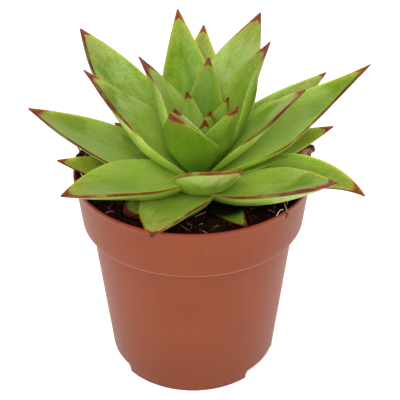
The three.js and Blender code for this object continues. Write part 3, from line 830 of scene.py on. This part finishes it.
def drill_hole(pot, turn):
    """A drain hole through the raised channel in the floor."""
    start_clean()
    place = (HOLE_PLACE * math.cos(turn), HOLE_PLACE * math.sin(turn), CHANNEL_HEIGHT + WALL / 2)
    size = {"radius": HOLE_RADIUS, "depth": 6 * WALL}
    bpy.ops.mesh.primitive_cylinder_add(vertices=HOLE_SIDES, location=place, **size)
    drill = newest("drain_drill")
    bpy.ops.object.transform_apply()
    cut_out(pot, drill)


def make_pot(material):
    pot = draw_round("nursery_pot", pot_outline(), POT_SIDES)
    for turn in NOTCH_TURNS:
        cut_notch(pot, turn)
    for k in range(HOLE_COUNT):
        drill_hole(pot, 2 * math.pi * (k + 0.5) / HOLE_COUNT)
    smooth(pot, POT_SMOOTH_ANGLE)
    return settle(pot, material, "pot", "pot")


# ---------------- soil
def soil_height(x, y):
    """The frame's own soil surface: a slow swell, and the heap at the back left."""
    swell = math.sin(0.33 * x + 1.1) * math.cos(0.29 * y) + 0.6 * math.sin(0.71 * x - 0.53 * y)
    heap_x = HEAP_RADIUS * math.cos(math.radians(HEAP_TURN))
    heap_y = HEAP_RADIUS * math.sin(math.radians(HEAP_TURN))
    away = math.hypot(x - heap_x, y - heap_y) / HEAP_SPREAD
    return SOIL_LEVEL + SWELL_HEIGHT * swell + HEAP_HEIGHT * math.exp(-away * away)


def clod_height(x, y):
    """The surface with its clods: lumps over smaller lumps."""
    spot = Vector((x / CLOD_SIZE, y / CLOD_SIZE, 0))
    lumps = noise.noise(spot) + 0.5 * noise.noise(spot * 2.3) + 0.3 * noise.noise(spot * 5.1)
    return soil_height(x, y) + CLOD_HEIGHT * lumps


def somewhere_round(chance, reach):
    """A chance place in the circle of that radius round the pot's axis."""
    radius = reach * math.sqrt(chance.random())
    turn = chance.uniform(0, 2 * math.pi)
    return radius * math.cos(turn), radius * math.sin(turn)


def spilled_place(chance):
    """Somewhere on the lip and the top of the band where the heap has run over."""
    turn = math.radians(chance.gauss(SPILLED_TURN, SPILLED_SPREAD))
    radius = chance.uniform(LIP_RADIUS - SPILLED_WIDTH, LIP_RADIUS - 0.1)
    height = POT_HEIGHT + chance.uniform(0.1, 1.6) * min(1, (LIP_RADIUS - radius) / 1.5 + 0.2)
    return radius * math.cos(turn), radius * math.sin(turn), height


def make_soil(material):
    floor = WALL + SOIL_FLOOR_GAP
    shelf = CHANNEL_HEIGHT + floor
    ledge = LEDGE_HEIGHT + floor
    room = WALL + SOIL_SLACK
    brim = band_radius(SOIL_LEVEL) - room
    walls = [
        (1, floor), (FLOOR_DISC_RADIUS - 0.6, floor), (CHANNEL_RADIUS - 0.3, shelf),
        (body_radius(shelf) - room, shelf), (body_radius(ledge) - room, ledge),
        (band_radius(ledge) - room, ledge), (brim - 0.3, SOIL_LEVEL - 3),
    ]
    rings = int(brim / SOIL_STEP)
    top = [(radius, SOIL_LEVEL) for radius in spread(brim, 0.5, rings)]
    soil = draw_round("peat_soil", walls + top, SOIL_SIDES)
    spots = coordinates(soil)
    wall_slope = (LIP_RADIUS - BAND_FOOT_RADIUS) / BAND_HEIGHT
    for spot in spots:
        if spot[2] > SOIL_LEVEL - 1:
            spot[2] = clod_height(spot[0], spot[1])
            spot[:2] *= 1 + wall_slope * max(0, spot[2] - SOIL_LEVEL) / brim
    place_all(soil, spots)
    smooth(soil)
    return settle(soil, material, "soil", "soil")


def model_lump(number):
    """A lumpy crumb, about two units long."""
    start_clean()
    bpy.ops.mesh.primitive_ico_sphere_add(subdivisions=2, radius=1)
    lump = newest(f"crumb_{number}")
    spots = coordinates(lump)
    for spot in spots:
        spot *= 1 + CRUMB_LUMPINESS * noise.noise(Vector(spot) * 1.3 + Vector((7 * number, 0, 0)))
    place_all(lump, spots * CRUMB_FLATNESS)
    return lump


def make_crumbs(material, chance):
    """Loose crumbs of peat on the surface, copies of a few lumpy ones."""
    lumps = [model_lump(number) for number in range(CRUMB_SHAPES)]
    places = []
    for _ in range(CRUMB_COUNT):
        x, y = somewhere_round(chance, CRUMB_REACH)
        places.append(((x, y, clod_height(x, y) + 0.1), chance.uniform(*CRUMB_SIZES) ** 1.5))
    for _ in range(SPILLED_COUNT):
        places.append((spilled_place(chance), chance.uniform(*SPILLED_SIZES)))
    crumbs = []
    for place, size in places:
        crumb = lumps[chance.randrange(len(lumps))].copy()
        crumb.data = crumb.data.copy()
        bpy.context.collection.objects.link(crumb)
        tilt = Matrix.Rotation(chance.uniform(0, 6.28), 4, Vector((chance.random(), chance.random(), 1)))
        crumb.data.transform(Matrix.Translation(place) @ tilt @ Matrix.Scale(size, 4))
        crumbs.append(crumb)
    for lump in lumps:
        bpy.data.objects.remove(lump)
    return settle(join_pieces("peat_crumbs", crumbs), material, "soil")


# ---------------- stem
def make_stem(material):
    """The core that carries the leaves, with the slight swells of old leaf scars."""
    top_radius, top_height = STEM_OUTLINE[-1]
    outline = []
    for (low_radius, low), (high_radius, high) in zip(STEM_OUTLINE, STEM_OUTLINE[1:]):
        for share in spread(0, 1, STEM_STEPS + 1)[:-1]:
            outline.append((low_radius + (high_radius - low_radius) * share, low + (high - low) * share))
    outline += [(top_radius, top_height), (top_radius * 0.4, top_height + top_radius / 4)]
    stem = draw_round("stem_core", [(0.5, STEM_OUTLINE[0][1])] + outline, STEM_SIDES)
    spots = coordinates(stem)
    for spot in spots:
        lump = STEM_LUMPINESS * noise.noise(Vector(spot) * 0.3)
        spot[:2] *= 1 + lump + SCAR_DEPTH * math.sin(spot[2] * 1.6)
    place_all(stem, spots + (PLANT_X, 0, 0))
    smooth(stem)
    return settle(stem, material, "stem", "stem")


# ---------------- leaves
def spindle(along, base, fullest_at, power):
    """A share that grows from base at the foot (0) to 1, then shrinks to nothing at the tip (1)."""
    near = base + (1 - base) * np.sin(np.pi / 2 * np.minimum(along / fullest_at, 1))
    far = 1 - (np.maximum(along - fullest_at, 0) / (1 - fullest_at)) ** power
    return np.where(along < fullest_at, near, far)


def width_share(along, blunt=None):
    """The leaf's width as a share of its widest."""
    return spindle(along, BASE_WIDTH, WIDEST_AT, blunt or TIP_POWER)


def thickness_share(along, blunt=None):
    """The leaf's thickness as a share of its thickest."""
    return spindle(along, BASE_THICKNESS, THICKEST_AT, blunt or THIN_POWER)


def model_leaf():
    """The pattern of every leaf, one unit long, with half its width and its thickness one unit too.

    A ring with a flat upper and a keeled lower side is pushed out along +X, station by station, to a point.
    """
    start_clean()
    bpy.ops.mesh.primitive_circle_add(vertices=LEAF_RING, radius=1, rotation=(0, math.pi / 2, 0))
    leaf = newest("leaf_pattern")
    bpy.ops.object.transform_apply(rotation=True)
    spots = coordinates(leaf)
    lower = spots[:, 2] < -1e-4
    depth = (1 - np.abs(spots[:, 1]) ** KEEL_POWER) ** FLANK_POWER
    spots[:, 0] = 0
    spots[:, 2] = np.where(lower, -depth, 0)
    place_all(leaf, spots)
    fill_ring()
    stations = [1 - (1 - k / LEAF_STATIONS) ** STATION_POWER for k in range(LEAF_STATIONS)]
    wide, thick = float(width_share(0)), float(thickness_share(0))
    bpy.ops.transform.resize(value=(1, wide, thick), center_override=(0, 0, 0))
    for before, place in zip(stations, stations[1:]):
        new_wide, new_thick = float(width_share(place)), float(thickness_share(place))
        pull((place - before, 0, 0), (1, new_wide / wide, new_thick / thick))
        wide, thick = new_wide, new_thick
    bpy.ops.mesh.extrude_region_move(TRANSFORM_OT_translate={"value": (1 - stations[-1], 0, 0)})
    bpy.ops.mesh.merge(type="CENTER")
    face_outwards()
    return leaf


def directions(leaf, along):
    """Out to the tip, up from the upper face, and across, for places along the leaf."""
    rise = np.radians(leaf["rise"] + leaf["bend"] * along ** leaf["bend_power"])
    turn = np.radians(leaf["turn"] + leaf["drift"] * along)
    out = np.stack([np.cos(rise) * np.cos(turn), np.cos(rise) * np.sin(turn), np.sin(rise)], 1)
    level = np.stack([-np.sin(rise) * np.cos(turn), -np.sin(rise) * np.sin(turn), np.cos(rise)], 1)
    roll = np.radians(leaf["twist"]) * np.minimum(1, 1.5 * along)[:, None]
    up = level * np.cos(roll) + np.cross(out, level) * np.sin(roll)
    return out, up, np.cross(out, up)


def midrib(leaf, along):
    """Points of the midrib, walked from the stem to the tip."""
    walk = np.linspace(0, 1, MIDRIB_STEPS + 1)
    steps = directions(leaf, (walk[:-1] + walk[1:]) / 2)[0] * leaf["length"] / MIDRIB_STEPS
    path = np.vstack([np.zeros(3), np.cumsum(steps, 0)])
    turn = math.radians(leaf["turn"])
    out = np.array([math.cos(turn), math.sin(turn), 0])
    start = np.array([PLANT_X, 0, leaf["seat"]]) + out * LEAF_SEAT_RADIUS
    return start + np.stack([np.interp(along, walk, path[:, k]) for k in range(3)], 1)


def mark_leaf(piece, leaf, number, along, from_tip, across, half, edge):
    """Writes what the leaf's finish reads: where each point lies on the leaf, and the leaf's own colours."""
    red = np.where(across < 0, *leaf["red"])
    fading = np.clip((1 - along) / leaf["reach"], 0, 1)
    blush = red * (1 - fading ** STRIPE_FADE_POWER)
    everywhere = np.ones_like(along)
    grain = (along * leaf["length"], half * across, number * 41 * everywhere)
    store(piece, "grain", np.stack(grain, 1))
    store(piece, "edge", edge)
    store(piece, "tip", from_tip)
    for name in ("cap", "plum", "belly", "base"):
        store(piece, name, leaf[name] * everywhere)
    store(piece, "tone", np.stack((leaf["yellow"] * everywhere, leaf["pale"] * everywhere, blush), 1))


def grow_leaf(pattern, number, row, material):
    """A copy of the pattern, stretched to this leaf's size, hollowed, and laid along its own midrib."""
    leaf = {**LEAF_DEFAULTS, **row}
    piece = pattern.copy()
    piece.data = pattern.data.copy()
    piece.name = piece.data.name = f"succulent_leaf_{number:02d}"
    bpy.context.collection.objects.link(piece)
    along, side, depth = coordinates(piece).T
    at_tip = along > 0.9999
    across = np.where(at_tip, 0, side / np.maximum(width_share(along), 1e-6))
    depth = np.where(at_tip, 0, depth / np.maximum(thickness_share(along), 1e-6))
    from_tip = leaf["length"] * (1 - along)
    rounding = NEEDLE_ROUNDING * (1 - np.exp(-from_tip / NEEDLE_POINT)) * np.exp(-from_tip / NEEDLE_LENGTH)
    half = leaf["width"] / 2 * width_share(along, leaf["blunt"]) + rounding
    thick = leaf["plump"] * THICKNESS * leaf["length"] * thickness_share(along, leaf["blunt"]) + rounding
    height = HOLLOW * half * across ** 2 + thick * depth

    seed = Vector((number * 13.7, 0, 0))
    sway = np.array([noise.noise(Vector((s * 3, p * 1.2, 0)) + seed) for s, p in zip(along, across)])
    height = height + SURFACE_SWAY * sway * np.minimum(1, 6 * (1 - along))

    out, up, cross = directions(leaf, along)
    spots = midrib(leaf, along) + cross * (half * across)[:, None] + up * height[:, None]
    stemward = (LEAF_START - LEAF_SEAT_RADIUS) * np.maximum(0, 1 - along / 0.04)[:, None]
    place_all(piece, spots + out * stemward)

    # Distance from the margin over the skin, below zero on the underside.
    edge = np.hypot((1 - np.abs(across)) * half, thick * depth) * np.where(depth < -1e-5, -1, 1)
    mark_leaf(piece, leaf, number, along, from_tip, across, half, edge)
    smooth(piece, LEAF_SMOOTH_ANGLE)
    return settle(piece, material, "leaf", f"leaf_{number:02d}")


# ---------------- bark chip
def make_chip(material):
    """A broken wedge of bark: a block drawn up in steps, thinner and narrower at its top, then roughened."""
    start_clean()
    height, thick, wide, shift = CHIP_SECTIONS[0]
    size = (2 * thick, 2 * wide, height)
    bpy.ops.mesh.primitive_cube_add(size=1, scale=size, location=(0, 0, height / 2))
    chip = newest("bark_wedge")
    bpy.ops.object.transform_apply()
    bpy.ops.object.mode_set(mode="EDIT")
    bpy.ops.mesh.select_mode(type="FACE")
    bpy.ops.mesh.select_all(action="DESELECT")
    bpy.ops.object.mode_set(mode="OBJECT")
    top = max(chip.data.polygons, key=lambda face: face.center.z)
    top.select = True
    bpy.ops.object.mode_set(mode="EDIT")
    for new_height, new_thick, new_wide, new_shift in CHIP_SECTIONS[1:]:
        step = (new_shift - shift, 0, new_height - height)
        pull(step, (new_thick / thick, new_wide / wide, 1), (new_shift, 0, new_height))
        height, thick, wide, shift = new_height, new_thick, new_wide, new_shift
    bpy.ops.mesh.select_all(action="SELECT")
    bpy.ops.mesh.subdivide(number_cuts=3)
    bpy.ops.object.mode_set(mode="OBJECT")
    apply_modifier(chip, "SUBSURF", levels=2, render_levels=2)
    spots = coordinates(chip)
    for spot in spots:
        layer = noise.noise(Vector((spot[0] * 1.4, spot[1] * 0.5, spot[2] * 0.35)))
        chipped = noise.noise(Vector(spot) * 0.8 + Vector((5, 2, 0)))
        spot[:2] *= 1 + CHIP_ROUGHNESS * layer + CHIP_ROUGHNESS * chipped
        spot[2] += CHIP_TOP_ROUGHNESS * chipped
    place_all(chip, spots)
    lean = Matrix.Rotation(math.radians(CHIP_LEAN), 4, "Y")
    turn = Matrix.Rotation(math.radians(CHIP_TURN), 4, "Z")
    chip.data.transform(turn @ Matrix.Translation((CHIP_RADIUS, 0, CHIP_FOOT)) @ lean)
    smooth(chip, CHIP_SMOOTH_ANGLE)
    return settle(chip, material, "bark", "bark_chip")


# ---------------- roots
def draw_strands(name, strands, material):
    """Thin strands as one piece: smooth curves through points, each with its thickness and shade."""
    parts = []
    for points, radius, shade in strands:
        curve = bpy.data.curves.new(name, "CURVE")
        curve.dimensions = "3D"
        curve.bevel_depth = radius
        curve.bevel_resolution = 1
        curve.resolution_u = 4
        curve.use_fill_caps = True
        spline = curve.splines.new("NURBS")
        spline.points.add(len(points) - 1)
        spline.use_endpoint_u = True
        spline.order_u = 3
        for k, point in enumerate(points):
            spline.points[k].co = (*point, 1)
            spline.points[k].radius = 0.55 if k == len(points) - 1 else 1
        part = bpy.data.objects.new(name, curve)
        bpy.context.collection.objects.link(part)
        hold(part)
        bpy.ops.object.convert(target="MESH")
        part = bpy.context.active_object
        store(part, "shade", np.full(len(part.data.vertices), shade))
        parts.append(part)
    return settle(join_pieces(name, parts), material, "soil")


def make_fine_roots(material, chance):
    """The strands that show, and hair roots lying in short curls all over the soil."""
    strands = list(STRANDS)
    for _ in range(HAIR_ROOT_COUNT):
        x, y = somewhere_round(chance, HAIR_ROOT_REACH)
        heading = chance.uniform(0, 2 * math.pi)
        step = chance.uniform(*HAIR_ROOT_STEPS)
        lift = chance.uniform(*HAIR_ROOT_LIFTS)
        points = []
        for k in range(chance.randrange(4, 8)):
            if math.hypot(x, y) < HAIR_ROOT_LIMIT:
                points.append((x, y, clod_height(x, y) + lift * math.sin(k * 0.9 + 0.3)))
            heading += chance.uniform(-HAIR_ROOT_CURL, HAIR_ROOT_CURL)
            x += step * math.cos(heading)
            y += step * math.sin(heading)
        if len(points) > 2:
            strands.append((points, chance.uniform(*HAIR_ROOT_RADII), chance.choice(HAIR_ROOT_SHADES)))
    return draw_strands("hair_roots", strands, material)


# ---------------- studio
def aim(thing, place, target):
    """Turns a camera or light, which looks along its own -Z, to its target."""
    sight = Vector(target) - Vector(place)
    thing.rotation_euler = sight.to_track_quat("-Z", "Y").to_euler()


def make_camera():
    start_clean()
    bpy.ops.object.camera_add(location=Vector(CAMERA_PLACE) * MM)
    camera = newest("camera")
    aim(camera, CAMERA_PLACE, CAMERA_AIM)
    camera.data.lens = CAMERA_LENS
    camera.data.sensor_width = FILM_WIDTH
    camera.data.clip_start = 10 * MM
    bpy.context.scene.camera = camera
    bpy.context.scene.view_settings.view_transform = "Standard"


def make_floor(material):
    start_clean()
    bpy.ops.mesh.primitive_plane_add(size=FLOOR_WIDTH * MM)
    floor = newest("studio_floor")
    floor.data.materials.append(material)


def light_studio():
    world = bpy.data.worlds.new("studio_air")
    bpy.context.scene.world = world
    world.use_nodes = True
    sky = world.node_tree.nodes["Background"]
    sky.inputs["Color"].default_value = (1, 1, 1, 1)
    sky.inputs["Strength"].default_value = SKY_STRENGTH
    for name, (place, width, power) in SOFTBOXES.items():
        start_clean()
        bpy.ops.object.light_add(type="AREA", location=Vector(place) * MM)
        box = newest(name)
        aim(box, place, LIGHT_AIM)
        box.data.size = width * MM
        box.data.energy = power


def main():
    make_camera()
    make_floor(floor_finish())
    light_studio()
    chance = random.Random(CHANCE_SEED)
    make_pot(pot_finish())
    peat = peat_finish()
    make_soil(peat)
    make_crumbs(peat, chance)
    make_stem(stem_finish())
    make_chip(bark_finish())
    make_fine_roots(root_finish(), chance)
    pattern = model_leaf()
    skin = leaf_finish()
    for number, row in enumerate(LEAVES, 1):
        grow_leaf(pattern, number, row, skin)
    bpy.data.objects.remove(pattern)


main()
